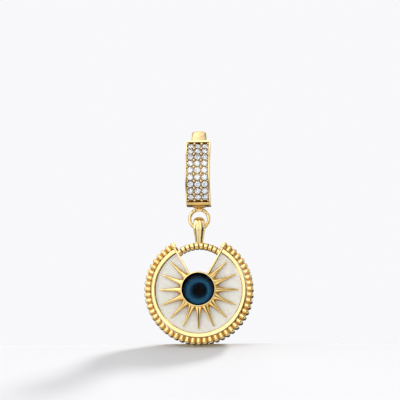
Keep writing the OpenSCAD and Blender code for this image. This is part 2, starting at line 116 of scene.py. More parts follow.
# The paper as the ground behind everything and as the floor. The floor slopes up to a crest
# under the medallion, with this share of its length in front, and then falls away slowly.
PAPER_SEEN, PAPER_LIT = (0.94, 0.94, 0.957), (0.668, 0.668, 0.682)
FLOOR_SLOPE, FLOOR_CREST, FLOOR_TOUCH = radians(20.4), 0.9, -31.5
FLOOR_SHARE, FLOOR_WIDTH, FLOOR_NEAR, FLOOR_FAR = 0.7, 1200, 500, 250
FLOOR_FALL, FLOOR_FALL_POWER = 0.004, 1.3

# The dim room, the softness of the panels' edges as a sine, the sun and the camera
ROOM_LEVEL, PANEL_SOFT = 0.04, 0.06
SUN_POWER, SUN_ANGLE, SUN_DIRECTION = 2.5, 13, (-14.7, -13.7, -24.3)
CAMERA_AZIMUTH, CAMERA_ELEVATION, CAMERA_DISTANCE = 4.0, -8.4, 300.0
CAMERA_AIM, CAMERA_LENS, CAMERA_SENSOR = (0.11, 0.0, -9.65), 180.0, 36.0


def toward(azimuth, elevation):
    """Direction from the pendant: 0 is straight ahead of its face, 90 to its right as pictured."""
    a, e = radians(azimuth), radians(elevation)
    return sin(a) * cos(e), -cos(a) * cos(e), sin(e)


# Where each panel stands, its half width and half height as sines, and its brightness
PANELS = ((toward(-5, 14), 0.27, 0.55, 1.8), (toward(-48, 25), 0.27, 0.6, 2.3),
          (toward(38, 30), 0.22, 0.5, 1.0), (toward(68, 20), 0.12, 0.5, 1.9),
          (toward(-92, 10), 0.2, 0.6, 1.8), (toward(100, 12), 0.2, 0.6, 1.3),
          ((-0.1, 0.05, 1.0), 0.5, 0.36, 1.9), (toward(180, 23), 0.35, 0.35, 1.3),
          (toward(0, -66), 0.9, 0.34, 1.3), (toward(180, -50), 0.9, 0.55, 0.35),
          (toward(142, -8), 0.3, 0.35, 0.6))


# ---------------------------------------------------------------- modelling

def deselect():
    if bpy.context.object and bpy.context.object.mode == "EDIT":
        bpy.ops.object.mode_set(mode="OBJECT")
    bpy.ops.object.select_all(action="DESELECT")


def pick(piece):
    """Makes a piece the active one and the only one selected."""
    deselect()
    bpy.context.view_layer.objects.active = piece
    piece.select_set(True)


def edit(piece):
    """Opens a piece in edit mode with nothing selected."""
    pick(piece)
    bpy.ops.object.mode_set(mode="EDIT")
    bpy.ops.mesh.select_all(action="DESELECT")
    return bmesh.from_edit_mesh(piece.data)


def close_edit(piece):
    """Merges doubles, turns the faces outwards and leaves edit mode."""
    bpy.ops.mesh.select_all(action="SELECT")
    bpy.ops.mesh.remove_doubles(threshold=1e-4)
    bpy.ops.mesh.normals_make_consistent(inside=False)
    bpy.ops.object.mode_set(mode="OBJECT")
    return piece


def named(name):
    piece = bpy.context.object
    piece.name = piece.data.name = name
    return piece


def placed(name):
    """Names a new primitive and bakes its place into its mesh."""
    piece = named(name)
    bpy.ops.object.transform_apply(location=True, rotation=True, scale=True)
    return piece


def came_from(vert):
    """The vertex that a freshly extruded one, still selected, was extruded from."""
    return next(e.other_vert(vert) for e in vert.link_edges if not e.other_vert(vert).select)


def sweep(name, rings, closed=False):
    """Extrudes a loop of edges from ring to ring and closes it: the last ring on the first, or
    each end with a cap. Each ring is a list of points in millimetres."""
    deselect()
    count = len(rings[0])
    bpy.ops.mesh.primitive_circle_add(vertices=count, radius=1)
    piece = named(name)
    mesh = edit(piece)
    mesh.verts.ensure_lookup_table()
    for vert, point in zip(mesh.verts, rings[0]):
        vert.co = point
    bpy.ops.mesh.select_all(action="SELECT")
    for number, ring in enumerate(rings[1:], 1):
        bpy.ops.mesh.extrude_edges_move()
        mesh = bmesh.from_edit_mesh(piece.data)
        fresh = [v for v in mesh.verts if v.select]
        for vert in fresh:
            vert.co = ring[came_from(vert).index % count]
        mesh.verts.index_update()
        mesh.verts.ensure_lookup_table()
        order = {v.index: number * count + came_from(v).index % count for v in fresh}
        mesh.verts.sort(key=lambda v: order.get(v.index, v.index))
        mesh.verts.index_update()
    bpy.ops.mesh.select_mode(type="EDGE")
    if closed:
        bpy.ops.mesh.select_all(action="DESELECT")
        bpy.ops.mesh.select_non_manifold(extend=False)
        bpy.ops.mesh.bridge_edge_loops()
    else:
        for end in (0, len(rings) - 1):
            bpy.ops.mesh.select_all(action="DESELECT")
            mesh = bmesh.from_edit_mesh(piece.data)
            low, high = end * count, (end + 1) * count
            for edge in mesh.edges:
                if all(low <= v.index < high for v in edge.verts):
                    edge.select_set(True)
            bpy.ops.mesh.edge_face_add()
    bpy.ops.mesh.select_mode(type="VERT")
    return close_edit(piece)


def joined(name, pieces):
    deselect()
    for piece in pieces:
        piece.select_set(True)
    bpy.context.view_layer.objects.active = pieces[0]
    bpy.ops.object.join()
    return named(name)


def copies(piece, name, places):
    """One mesh copied to each place and joined. A place is a matrix in millimetres."""
    made = []
    for place in places:
        copy = piece.copy()
        copy.data = piece.data.copy()
        bpy.context.scene.collection.objects.link(copy)
        copy.data.transform(place)
        made.append(copy)
    bpy.data.objects.remove(piece)
    return joined(name, made)


def smoothed(piece, degrees):
    """Shades a piece smooth, apart from edges sharper than this."""
    pick(piece)
    bpy.ops.object.shade_smooth_by_angle(angle=radians(degrees))
    return piece


def bevelled(piece, width):
    bevel = piece.modifiers.new("Bevel", "BEVEL")
    bevel.width, bevel.segments, bevel.limit_method = width, 3, "ANGLE"
    bevel.angle_limit = radians(35)
    bevel.harden_normals = False
    pick(piece)
    bpy.ops.object.modifier_apply(modifier=bevel.name)
    return piece


def done(piece, body, slot, material, *replaced):
    """Brings a piece to metres, gives it its material and puts it on its body."""
    pick(piece)
    piece.scale = (MM, MM, MM)
    bpy.ops.object.transform_apply(location=True, rotation=True, scale=True)
    piece.data.materials.clear()
    piece.data.materials.append(material)
    for face in piece.data.polygons:
        face.material_index = 0
    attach(piece, body)
    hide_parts(*replaced)
    return piece


def second_material(piece, material, chosen):
    """Gives a finished piece a second material on the faces whose centre is chosen."""
    piece.data.materials.append(material)
    for face in piece.data.polygons:
        if chosen(*(face.center / MM)):
            face.material_index = 1


def quarter(steps):
    """The angles of a quarter of a circle."""
    return [pi / 2 * i / steps for i in range(steps + 1)]


def on_medallion(radius, degrees, depth):
    """A point of the medallion: radius, angle from the right and distance to the front."""
    a = radians(degrees)
    return Vector((radius * cos(a), -depth, CENTRE_Z + radius * sin(a)))


# ---------------------------------------------------------------- materials

def fill(tree, target, inputs):
    """Sets a node's inputs, each to a value or to the socket that feeds it."""
    for key, value in inputs.items():
        if isinstance(value, bpy.types.NodeSocket):
            tree.links.new(value, target.inputs[key])
        else:
            target.inputs[key].default_value = value


def node(tree, kind, inputs=None, **settings):
    made = tree.nodes.new(kind)
    for key, value in settings.items():
        setattr(made, key, value)
    fill(tree, made, inputs or {})
    return made


def maths(tree, operation, *values, kind="ShaderNodeMath"):
    """The result of an operation on values or sockets."""
    return node(tree, kind, dict(enumerate(values)), operation=operation).outputs["Value"]


def object_place(tree):
    return node(tree, "ShaderNodeTexCoord").outputs["Object"]


def parted(tree):
    """The X, Y and Z of the place on the object."""
    return node(tree, "ShaderNodeSeparateXYZ", {"Vector": object_place(tree)}).outputs


def noise(tree, vector, scale, detail=2.0, distortion=0.0):
    inputs = {"Vector": vector, "Scale": scale, "Detail": detail, "Distortion": distortion}
    return node(tree, "ShaderNodeTexNoise", inputs).outputs["Fac"]


def spread(tree, value, **limits):
    """Maps a value from one range to another: from_min, from_max, to_min, to_max."""
    inputs = {key.replace("_", " ").title(): limit for key, limit in limits.items()}
    return node(tree, "ShaderNodeMapRange", {"Value": value, **inputs}).outputs["Result"]


def ramp_between(tree, value, low, high):
    """0 where the value is low, 1 where it is high, soft between."""
    soft = node(tree, "ShaderNodeMapRange", {"Value": value, "From Min": low, "From Max": high},
                interpolation_type="SMOOTHSTEP")
    return soft.outputs["Result"]


def mixed(tree, share, first, second):
    inputs = {"Factor": share, "A": first, "B": second}
    return node(tree, "ShaderNodeMix", inputs, data_type="RGBA").outputs["Result"]


def tilted(tree, height, strength):
    """The normal of a surface with fine bumps of this height."""
    inputs = {"Strength": strength, "Distance": BUMP_DEPTH, "Height": height}
    return node(tree, "ShaderNodeBump", inputs).outputs["Normal"]


def colour_ramp(tree, value, stops):
    """The colour at a value, between stops of [position, colour], the lowest first."""
    made = node(tree, "ShaderNodeValToRGB", {"Fac": value})
    ramp = made.color_ramp
    for element, (position, colour) in zip(ramp.elements, (stops[0], stops[-1])):
        element.position, element.color = position, (*colour, 1)
    for position, colour in stops[1:-1]:
        ramp.elements.new(position).color = (*colour, 1)
    return made.outputs["Color"]


def polish_group():
    """Hand polish: fine marks that vary the roughness and tint and tilt the surface a little."""
    group = bpy.data.node_groups.new("hand_polish", "ShaderNodeTree")
    numbers = ("Mark Scale", "Roughness Low", "Roughness High", "Bump")
    for side, kind, names in (("INPUT", "Float", numbers), ("INPUT", "Color", ("Bright", "Deep")),
                              ("OUTPUT", "Color", ("Color",)), ("OUTPUT", "Float", ("Roughness",)),
                              ("OUTPUT", "Vector", ("Normal",))):
        for name in names:
            group.interface.new_socket(name=name, in_out=side, socket_type="NodeSocket" + kind)
    given, place = node(group, "NodeGroupInput").outputs, object_place(group)
    marks = noise(group, place, given["Mark Scale"], 3.0)
    rough = spread(group, marks, from_min=0.3, from_max=0.7,
                   to_min=given["Roughness Low"], to_max=given["Roughness High"])
    broad = noise(group, place, 420.0)
    share = spread(group, broad, from_min=0.3, from_max=0.7)
    node(group, "NodeGroupOutput", {"Color": mixed(group, share, given["Bright"], given["Deep"]),
                                    "Roughness": rough,
                                    "Normal": tilted(group, broad, given["Bump"])})
    return group


POLISH = polish_group()


def shaded(name):
    material = bpy.data.materials.new(name)
    material.use_nodes = True
    tree = material.node_tree
    return material, tree, tree.nodes["Principled BSDF"]


def gold(name, bright, deep, low, high, bump, scale=900.0):
    """Gold of two tints, with the lowest and highest roughness and the strength of its marks."""
    material, tree, shader = shaded(name)
    inputs = {"Mark Scale": scale, "Roughness Low": low, "Roughness High": high, "Bump": bump,
              "Bright": (*bright, 1), "Deep": (*deep, 1)}
    polish = node(tree, "ShaderNodeGroup", inputs, node_tree=POLISH).outputs
    fill(tree, shader, {"Metallic": 1.0, "Base Color": polish["Color"],
                        "Roughness": polish["Roughness"], "Normal": polish["Normal"]})
    return material


gold_plain = gold("polished gold", (1.0, 0.77, 0.38), (0.95, 0.71, 0.31), 0.05, 0.12, 0.2)
gold_fluted = gold("fluted gold", (1.0, 0.76, 0.36), (0.95, 0.69, 0.28), 0.06, 0.13, 0.3)
gold_rays = gold("sunburst gold", (1.0, 0.76, 0.35), (0.96, 0.69, 0.27), 0.04, 0.1, 0.25)
# Painted shade: dark gold for the slots between the bar's discs
slot_painted_shade = gold("slot gold painted shade", (0.2, 0.1, 0.03), (0.07, 0.03, 0.01), 0.25, 0.4, 0.6, 2500.0)
# Painted shade: dark brown gold for the drilled seats under the stones
seat_painted_shade = gold("stone seats painted shade", (0.6, 0.38, 0.14), (0.3, 0.16, 0.05), 0.25, 0.4, 0.6, 2500.0)
gold_soft = gold("soft gold", (1.0, 0.8, 0.42), (0.96, 0.75, 0.36), 0.16, 0.24, 0.2)
gold_brushed = gold("brushed gold", (1.0, 0.8, 0.42), (0.96, 0.75, 0.36), 0.26, 0.36, 0.2)
gold_satin = gold("satin gold", (1.0, 0.8, 0.45), (0.96, 0.76, 0.4), 0.42, 0.55, 0.25, 1500.0)


def cut_stone():
    material, tree, shader = shaded("cut stone")
    fill(tree, shader, {"Base Color": (0.93, 0.965, 1.0, 1), "Roughness": 0.0, "IOR": 2.4,
                        "Transmission Weight": 1.0})
    return material


def mother_of_pearl():
    """Shell: soft clouds of grey, cream, faint pink and green, with fine growth lines."""
    material, tree, shader = shaded("mother of pearl")
    place = object_place(tree)
    cloud = noise(tree, place, 260.0, 3.0, 1.2)
    tint = colour_ramp(tree, cloud, ((0.3, (0.77, 0.745, 0.67)), (0.42, (0.83, 0.785, 0.73)),
                                     (0.5, (0.87, 0.86, 0.79)), (0.6, (0.81, 0.82, 0.73)),
                                     (0.72, (0.88, 0.84, 0.76))))
    lines = node(tree, "ShaderNodeTexWave", {"Vector": place, "Scale": 700.0, "Distortion": 9.0,
                                             "Detail": 2.0}).outputs["Fac"]
    fill(tree, shader, {"Base Color": tint, "Normal": tilted(tree, lines, 0.08),
                        "Roughness": spread(tree, cloud, to_min=0.22, to_max=0.38),
                        "Coat Weight": 0.5, "Coat Roughness": 0.1})
    return material


def eye_distance(tree, right=0.0, up=0.0):
    """The place across the medallion from the middle of the eye, in millimetres, and how far."""
    inputs = {"Vector": object_place(tree), "Location": (-right, 0, -(CENTRE_Z + up)),
              "Scale": (1 / MM, 0, 1 / MM)}
    across = node(tree, "ShaderNodeMapping", inputs).outputs["Vector"]
    return across, maths(tree, "LENGTH", across, kind="ShaderNodeVectorMath")


def darken(tree, shader, mask, colour):
    """Mixes painted shade into the base colour where the mask is 1."""
    base = shader.inputs["Base Color"].links[0].from_socket
    fill(tree, shader, {"Base Color": mixed(tree, mask, base, (*colour, 1))})


def sunburst_painted_shade(material):
    """Painted shade: brown at each ray's foot, fading towards its tip, nearly black in the valleys
    beside the bezel. Each has heights above the rays' floor and distances from the eye."""
    tree = material.node_tree
    shader = tree.nodes["Principled BSDF"]
    depth, distance = parted(tree)["Y"], eye_distance(tree)[1]
    # Painted shade: brown at the rays' feet, near-black in the valleys beside the bezel
    for high, low, far, close, colour in ((0.42, 0.05, 6.2, 3.6, (0.36, 0.16, 0.04)),
                                          (0.6, 0.3, 3.25, 2.8, (0.12, 0.05, 0.015))):
        mask = ramp_between(tree, depth, -(BURST + high) * MM, -(BURST + low) * MM)
        near = ramp_between(tree, distance, far, close)
        darken(tree, shader, maths(tree, "MULTIPLY", mask, near), colour)


def groove_painted_shade(material):
    """Painted shade and reflection: deeper, redder gold along the middle of each groove of the
    coin edge, where its walls shade and reflect each other.
    """
    tree = material.node_tree
    place = parted(tree)
    angle = maths(tree, "ARCTAN2", place["X"], maths(tree, "SUBTRACT", CENTRE_Z * MM, place["Z"]))
    count = maths(tree, "MULTIPLY_ADD", angle, FLUTES / radians(NOTCH_SWEEP), (FLUTES + 1) / 2)
    middle = ramp_between(tree, maths(tree, "PINGPONG", count, 0.5), 0.34, 0.16)
    # Painted shade and reflection in the middle of each groove
    darken(tree, tree.nodes["Principled BSDF"], middle, (0.72, 0.47, 0.17))


def blue_iris():
    """Steel blue ring, a little low, that darkens to navy and black, with faint streaks."""
    material, tree, shader = shaded("blue iris")
    across, distance = eye_distance(tree, -0.04, -0.26)
    shift = maths(tree, "MULTIPLY_ADD", noise(tree, across, 1.3, 3.0), 0.35, distance)
    tint = colour_ramp(tree, maths(tree, "DIVIDE", shift, 2.6),
                       ((0.44, (0.004, 0.01, 0.02)), (0.56, (0.008, 0.065, 0.115)),
                        (0.64, (0.014, 0.1, 0.17)), (0.74, (0.01, 0.075, 0.13)),
                        (0.82, (0.003, 0.02, 0.045)), (0.93, (0.0005, 0.0008, 0.0015))))
    fill(tree, shader, {"Base Color": tint, "Roughness": 0.45, "Specular IOR Level": 0.2})
    return material


def black_pupil():
    material, tree, shader = shaded("black pupil")
    distance = eye_distance(tree, PUPIL_X, PUPIL_UP)[1]
    tint = colour_ramp(tree, maths(tree, "DIVIDE", distance, PUPIL_R + 0.03),
                       ((0.45, (0.004, 0.002, 0.001)), (0.72, (0.002, 0.004, 0.006)),
                        (0.88, (0.003, 0.018, 0.032)), (1.0, (0.006, 0.05, 0.09))))
    fill(tree, shader, {"Base Color": tint, "Roughness": 0.4, "Specular IOR Level": 0.05})
    return material


def dark_backing():
    """Black varnish inside the bezel, which the glass shows at its edge."""
    material, tree, shader = shaded("dark backing")
    tint = colour_ramp(tree, noise(tree, object_place(tree), 1500.0),
                       ((0.0, (0.002, 0.003, 0.004)), (1.0, (0.004, 0.008, 0.014))))
    fill(tree, shader, {"Base Color": tint, "Roughness": 0.6, "Specular IOR Level": 0.1})
    return material


def clear_glass():
    """Glass that lets the light through to the eye without a shadow."""
    material, tree, shader = shaded("clear blue glass")
    fill(tree, shader, {"Base Color": (0.75, 0.88, 0.96, 1), "Roughness": 0.02, "IOR": 1.12,
                        "Specular Tint": (0.0, 0.0, 0.0, 1), "Transmission Weight": 1.0})
    clear = node(tree, "ShaderNodeBsdfTransparent").outputs["BSDF"]
    shadow = node(tree, "ShaderNodeLightPath").outputs["Is Shadow Ray"]
    mix = node(tree, "ShaderNodeMixShader", {"Fac": shadow, 1: shader.outputs["BSDF"], 2: clear})
    fill(tree, tree.nodes["Material Output"], {"Surface": mix.outputs["Shader"]})
    return material


# ---------------------------------------------------------------- bail

def tangent_angle(first, second, front):
    """Angle at which the hoop's outline leaves one disc, straight on to the next."""
    dy, dz, dr = first[0] - second[0], first[1] - second[1], second[2] - first[2]
    middle, half = math.atan2(dz, dy), math.acos(dr / math.hypot(dy, dz))
    for angle in (middle + half, middle - half):
        if (cos(angle) < 0) == front:
            return angle % (2 * pi)


def hoop_outline(depth):
    """Points of the hoop's side outline, at a depth below its outer face."""
    front = tangent_angle(DISC_TOP, DISC_FRONT, True)
    foot = tangent_angle(DISC_FRONT, DISC_FOOT, True)
    back = tangent_angle(DISC_FOOT, DISC_BACK, False)
    top = tangent_angle(DISC_BACK, DISC_TOP, False)
    points = []
    for i in range(HOOP_STATIONS):
        a = 2 * pi * i / HOOP_STATIONS
        if top < a < front:
            y, z, radius = DISC_TOP
        elif front <= a < foot:
            y, z, radius = DISC_FRONT
        elif foot <= a < back:
            y, z, radius = DISC_FOOT
        else:
            y, z, radius = DISC_BACK
        points.append((y + (radius - depth) * cos(a), z + (radius - depth) * sin(a)))
    return points


def bail_hoop():
    """A flat strap with round outer corners, hollowed a little inside."""
    half, flat = STRAP_W / 2, STRAP_W / 2 - STRAP_CORNER
    dome = [(flat * i / 4, STRAP_DOME * (i / 4) ** 2) for i in range(-4, 5)]
    corner = [(flat + STRAP_CORNER * sin(a), STRAP_DOME + STRAP_CORNER * (1 - cos(a)))
              for a in quarter(6)[1:]]
    corner += [(half - STRAP_EDGE * (1 - cos(a)), STRAP_T - STRAP_EDGE * (1 - sin(a)))
               for a in quarter(3)]
    inside = [(0.5, STRAP_T - 0.02), (0.0, STRAP_T - 0.03), (-0.5, STRAP_T - 0.02)]
    section = dome + corner + inside + [(-x, depth) for x, depth in reversed(corner)]
    lines = [(x, hoop_outline(depth)) for x, depth in section]
    rings = [[(x, *line[i]) for x, line in lines] for i in range(HOOP_STATIONS)]
    return smoothed(sweep("bail_hoop", rings, closed=True), 40)


def wrapped(point):
    """From the flat tray (across, along, above the tables) to its place on the bail."""
    angle, r = point[1] / FACE_R, FACE_R + point[2]
    return Vector((point[0], TRAY_Y - r * cos(angle), TRAY_MID_Z + r * sin(angle)))


def wrap_place(across, along):
    """Matrix that puts something modelled flat, with +Z out of the tables, on the tray."""
    angle = along / FACE_R
    out, up = Vector((0, -cos(angle), sin(angle))), Vector((0, sin(angle), cos(angle)))
    turn = Matrix((Vector((1, 0, 0)), up, out)).transposed().to_4x4()
    return Matrix.Translation(wrapped((across, along, 0))) @ turn


def stone_tray():
    """One drilled cell is arrayed, the rim is extruded round the field, and all is wrapped."""
    first = Vector((-(COLS - 1) / 2 * PITCH, -(ROWS - 1) / 2 * PITCH))
    deselect()
    bpy.ops.mesh.primitive_circle_add(vertices=SEAT_SIDES, radius=SEAT_R, fill_type="NGON",
                                      location=(*first, FLOOR_W))
    piece = placed("stone_tray")
    mesh = edit(piece)
    for edge in mesh.edges:
        edge.select_set(True)
    bpy.ops.mesh.extrude_edges_move()
    mesh = bmesh.from_edit_mesh(piece.data)
    for vert in mesh.verts:
        if vert.select:
            offset = vert.co.xy - first
            vert.co.xy = first + offset * (PITCH / 2 / max(abs(offset.x), abs(offset.y)))
    bpy.ops.mesh.select_all(action="DESELECT")
    bpy.ops.mesh.select_mode(type="FACE")
    mesh = bmesh.from_edit_mesh(piece.data)
    for face in mesh.faces:
        if len(face.verts) == SEAT_SIDES:
            face.select_set(True)
    bpy.ops.mesh.extrude_region_move(TRANSFORM_OT_translate={"value": (0, 0, -SEAT_DEPTH)})
    bpy.ops.transform.resize(value=(SEAT_FOOT_SHARE, SEAT_FOOT_SHARE, 1),
                             center_override=(*first, 0))
    bpy.ops.object.mode_set(mode="OBJECT")
    for count, offset in ((COLS, (PITCH, 0, 0)), (ROWS, (0, PITCH, 0))):
        array = piece.modifiers.new("Array", "ARRAY")
        array.count, array.use_relative_offset, array.use_constant_offset = count, False, True
        array.constant_offset_displace = offset
        array.use_merge_vertices, array.merge_threshold = True, 1e-4
        bpy.ops.object.modifier_apply(modifier=array.name)
    edit(piece)
    bpy.ops.mesh.select_mode(type="EDGE")
    bpy.ops.mesh.select_non_manifold(extend=False)
    half_x, half_v, height = COLS * PITCH / 2, ROWS * PITCH / 2, FLOOR_W
    for x, v, w in TRAY_STEPS:
        bpy.ops.mesh.extrude_edges_move(TRANSFORM_OT_translate={"value": (0, 0, w - height)})
        bpy.ops.transform.resize(value=(x / half_x, v / half_v, 1), center_override=(0, 0, 0))
        half_x, half_v, height = x, v, w
    bpy.ops.mesh.select_mode(type="VERT")
    close_edit(piece)
    for vert in piece.data.vertices:
        flat = vert.co.copy()
        vert.co = wrapped(flat)
        if flat.y < TRAY_END_V and flat.z < TRAY_END_W:
            vert.co.y, vert.co.z = TRAY_FOOT_Y, TRAY_FOOT_Z
            if flat.z < BACK_W + 0.03:
                vert.co.z += TRAY_FOOT_LIP
    return smoothed(piece, 28)


def in_seat(x, y, z):
    """Whether this is a place in the drilled seats, below the tray's floor, where shade is
    painted.
    """
    depth = FACE_R - math.hypot(y - TRAY_Y, z - TRAY_MID_Z)
    return abs(x) < SEATS_HALF_X and SEATS_HIGH < depth < SEATS_LOW


def tray_beads():
    """One raised bead with a deep root at each corner of the grid."""
    sunk = -BEAD_R * BEAD_SINK
    deselect()
    bpy.ops.mesh.primitive_uv_sphere_add(segments=12, ring_count=8, radius=BEAD_R,
                                         location=(0, 0, sunk))
    bead = placed("bead")
    mesh = edit(bead)
    for vert in mesh.verts:
        if vert.co.z < sunk:
            vert.select_set(True)
    bpy.ops.transform.translate(value=(0, 0, -BEAD_ROOT))
    bpy.ops.object.mode_set(mode="OBJECT")
    places = []
    for row in range(ROWS + 1):
        for col in range(COLS + 1):
            shift, size = (RIM_BEAD_SHIFT, RIM_BEAD_SIZE) if col in (0, COLS) else (1, 1)
            place = wrap_place((col - COLS / 2) * PITCH * shift, (row - ROWS / 2) * PITCH)
            places.append(place @ Matrix.Scale(size, 4))
    return smoothed(copies(bead, "tray_beads", places), 60)


def brilliant(name):
    """A round cut: table, stars, kites and halves above the girdle, mains and halves below."""
    half, low_girdle = radians(22.5), -CROWN_H - GIRDLE_H
    deselect()
    bpy.ops.mesh.primitive_circle_add(vertices=8, radius=TABLE_R)
    stone = named(name)
    edit(stone)
    for count, radius, height, turn in ((8, STAR_R, -STAR_DEPTH, half), (16, STONE_R, -CROWN_H, 0),
                                        (16, STONE_R, low_girdle, 0),
                                        (8, LOWER_R, low_girdle - PAVILION_H * LOWER_SHARE, half),
                                        (3, POINT_R, low_girdle - PAVILION_H, 0)):
        bpy.ops.mesh.primitive_circle_add(vertices=count, radius=radius,
                                          location=(0, 0, height), rotation=(0, 0, turn))
    bpy.ops.mesh.select_all(action="SELECT")
    bpy.ops.mesh.convex_hull(join_triangles=False)
    bpy.ops.mesh.select_all(action="SELECT")
    bpy.ops.mesh.dissolve_limited(angle_limit=radians(1.5))
    return close_edit(stone)


def soldered_ring():
    """Round wire with a spread solder foot where it meets the hoop."""
    deselect()
    bpy.ops.mesh.primitive_torus_add(major_radius=RING_R, minor_radius=WIRE_R, major_segments=96,
                                     minor_segments=24, location=(0, 0, RING_Z),
                                     rotation=(pi / 2, 0, 0))
    piece = placed("soldered_ring")
    mesh = edit(piece)
    top = RING_Z + RING_R
    for vert in mesh.verts:
        if vert.co.z > top - SOLDER_HEIGHT:
            vert.select_set(True)
    bpy.ops.transform.resize(value=SOLDER_SPREAD, center_override=(0, 0, top))
    return smoothed(close_edit(piece), 60)


# ---------------------------------------------------------------- medallion

def loop_ring(y, z, direction, depth, width, channel=LOOP_CHANNEL, roundness=LOOP_ROUND):
    """A ring of the loop: its middle, its direction outwards and its half sizes. A roundness of 1
    is round and less is flatter. A fine channel runs in front and behind."""
    over = []
    for i in range(37):
        x, d = cos(pi * i / 36), abs(sin(pi * i / 36)) ** roundness
        over.append((x, d * (1 - channel * math.exp(-(x / LOOP_CHANNEL_W) ** 2))))
    section = over + [(x, -d) for x, d in reversed(over[1:-1])]
    return [(x * width, y + d * depth * cos(direction), PIVOT_Z + z + d * depth * sin(direction))
            for x, d in section]


def loop_leg(side, s):
    """A ring of a leg, at a share of the way from the crown down into the bar."""
    t = LOOP_LEG * (1 - s) + LOOP_FOOT_T * s
    middle = (LOOP_IN_R + LOOP_LEG / 2) * (1 - s) + (LOOP_FOOT_GAP + LOOP_FOOT_T) / 2 * s
    width = LOOP_W * (1 - s) + LOOP_FOOT_W * s + LOOP_SPREAD * max(0, s - LOOP_SPREAD_FROM)
    return loop_ring(side * middle, -s * (LOOP_LEN + LOOP_BITE), 0 if side > 0 else pi,
                     t / 2, width / 2)


def medallion_loop():
    """The loop that hangs in the ring: a leg behind, the crown over the wire, a leg in front."""
    steps, crown_steps = 14, 24
    rings = [loop_leg(-1, i / steps) for i in range(steps, 0, -1)]
    for i in range(crown_steps + 1):
        a = pi * (1 - i / crown_steps)
        out = LOOP_IN_R + LOOP_LEG + (LOOP_CROWN - LOOP_LEG) * sin(a) ** 2
        middle = (LOOP_IN_R + out) / 2
        rings.append(loop_ring(middle * cos(a), middle * sin(a), a, (out - LOOP_IN_R) / 2,
                               LOOP_W / 2, LOOP_CHANNEL * (1 - sin(a) ** 6),
                               LOOP_ROUND + (1 - LOOP_ROUND) * sin(a) ** 2))
    rings += [loop_leg(1, i / steps) for i in range(1, steps + 1)]
    return smoothed(sweep("medallion_loop", rings), 50)


def groove(u):
    """How deep the cutter has gone: 0 on the crest between two grooves, 1 in the middle of one."""
    return (1 + cos(pi * min(1.0, abs(2 * u - 1) / GROOVE_SHARE))) / 2


def coin_edge():
    """Round-nosed grooves cut from the front over the edge to the back, with level crests."""
    samples = 12
    path = [Vector((BAND_R + out, share * FRONT)) for out, share in BAND]
    outward = []
    for i in range(len(path) - 1):
        along = path[i + 1] - path[max(i - 1, 0)]
        outward.append(Vector((-along.y, along.x)).normalized())
    outward.append(Vector((1, 0)))
    rings = []
    for i in range(FLUTES * samples + 1):
        degrees = NOTCH_START + NOTCH_SWEEP * i / (FLUTES * samples)
        cut = FLUTE_DEPTH * groove((i % samples) / samples)
        front = [point - normal * cut for point, normal in zip(path, outward)]
        ring = [on_medallion(point.x, degrees, point.y) for point in front]
        ring += [on_medallion(point.x, degrees, -point.y) for point in reversed(front[:-1])]
        rings.append(ring)
    return smoothed(sweep("coin_edge", rings), 38)


def squared(value, power):
    """Makes a sine or cosine squarer, with its sign kept."""
    return math.copysign(abs(value) ** power, value)


def fluted_bar():
    """Round-edged discs in a row along an arc, with slots between them."""
    samples, sides = 12, 24
    rings = []
    for i in range(BAR_FLUTES * samples + 1):
        a = radians(90 + BAR_HALF - 2 * BAR_HALF * i / (BAR_FLUTES * samples))
        u = abs(2 * (i % samples) / samples - 1)
        size = BAR_SLOT + (1 - BAR_SLOT) * (1 - u ** BAR_NOSE) ** 0.5
        ring = []
        for j in range(sides):
            t = 2 * pi * j / sides
            r = BAR_R + squared(cos(t), BAR_SQUARE_R) * size * BAR_T / 2
            deep = squared(sin(t), BAR_SQUARE_Y) * size * BAR_DEPTH / 2
            ring.append((r * cos(a), -deep, CENTRE_Z + BAR_RISE + r * sin(a)))
        rings.append(ring)
    return smoothed(sweep("fluted_bar", rings), 50)


def in_slot(x, y, z):
    """Whether this is a place between two of the bar's discs, where shade is painted."""
    degrees = math.degrees(math.atan2(x, z - CENTRE_Z - BAR_RISE))
    turns = (degrees + BAR_HALF) / (2 * BAR_HALF) * BAR_FLUTES
    return abs(turns - round(turns)) < BAR_SLOT_SHARE


def notch_block(name, side, near, far, low, high, back, front):
    """A block beside the notch: along its wall, across it (positive towards the notch), and from
    back to front."""
    deselect()
    bpy.ops.mesh.primitive_cube_add(size=1)
    piece = named(name)
    out = on_medallion(1, 90 - side * 30, 0) - Vector((0, 0, CENTRE_Z))
    across = Vector((0, -1, 0)).cross(out) * -side
    for vert in piece.data.vertices:
        s = near + (far - near) * (vert.co.x + 0.5)
        t = low + (high - low) * (vert.co.y + 0.5)
        d = back + (front - back) * (vert.co.z + 0.5)
        vert.co = Vector((0, -d, CENTRE_Z)) + out * s + across * t
    edit(piece)
    return close_edit(piece)


def notch_wall(name, side):
    """The thin wall of the notch, and the post that ends the coin edge there, rounded outside."""
    half = WALL_T / 2
    wall = notch_block(name, side, WALL_START, WALL_END, -half, half, -FRONT, RIM_TOP)
    bevelled(wall, WALL_BEVEL)
    post = notch_block(name + "_post", side, BAND_R, POST_END, half - POST_W, half, POST_BACK,
                       RIM_TOP)
    mesh = edit(post)
    bpy.ops.mesh.select_mode(type="EDGE")
    for edge in mesh.edges:
        ends = [v.co for v in edge.verts]
        middle = (ends[0] + ends[1]) / 2
        if abs(ends[0].y - ends[1].y) > 1 and math.hypot(middle.x, middle.z - CENTRE_Z) > POST_OUT:
            edge.select_set(True)
    bpy.ops.mesh.bevel(offset=POST_ROUND, segments=6)
    bpy.ops.mesh.select_mode(type="VERT")
    bevelled(close_edit(post), POST_BEVEL)
    return smoothed(joined(name, [wall, post]), 40)


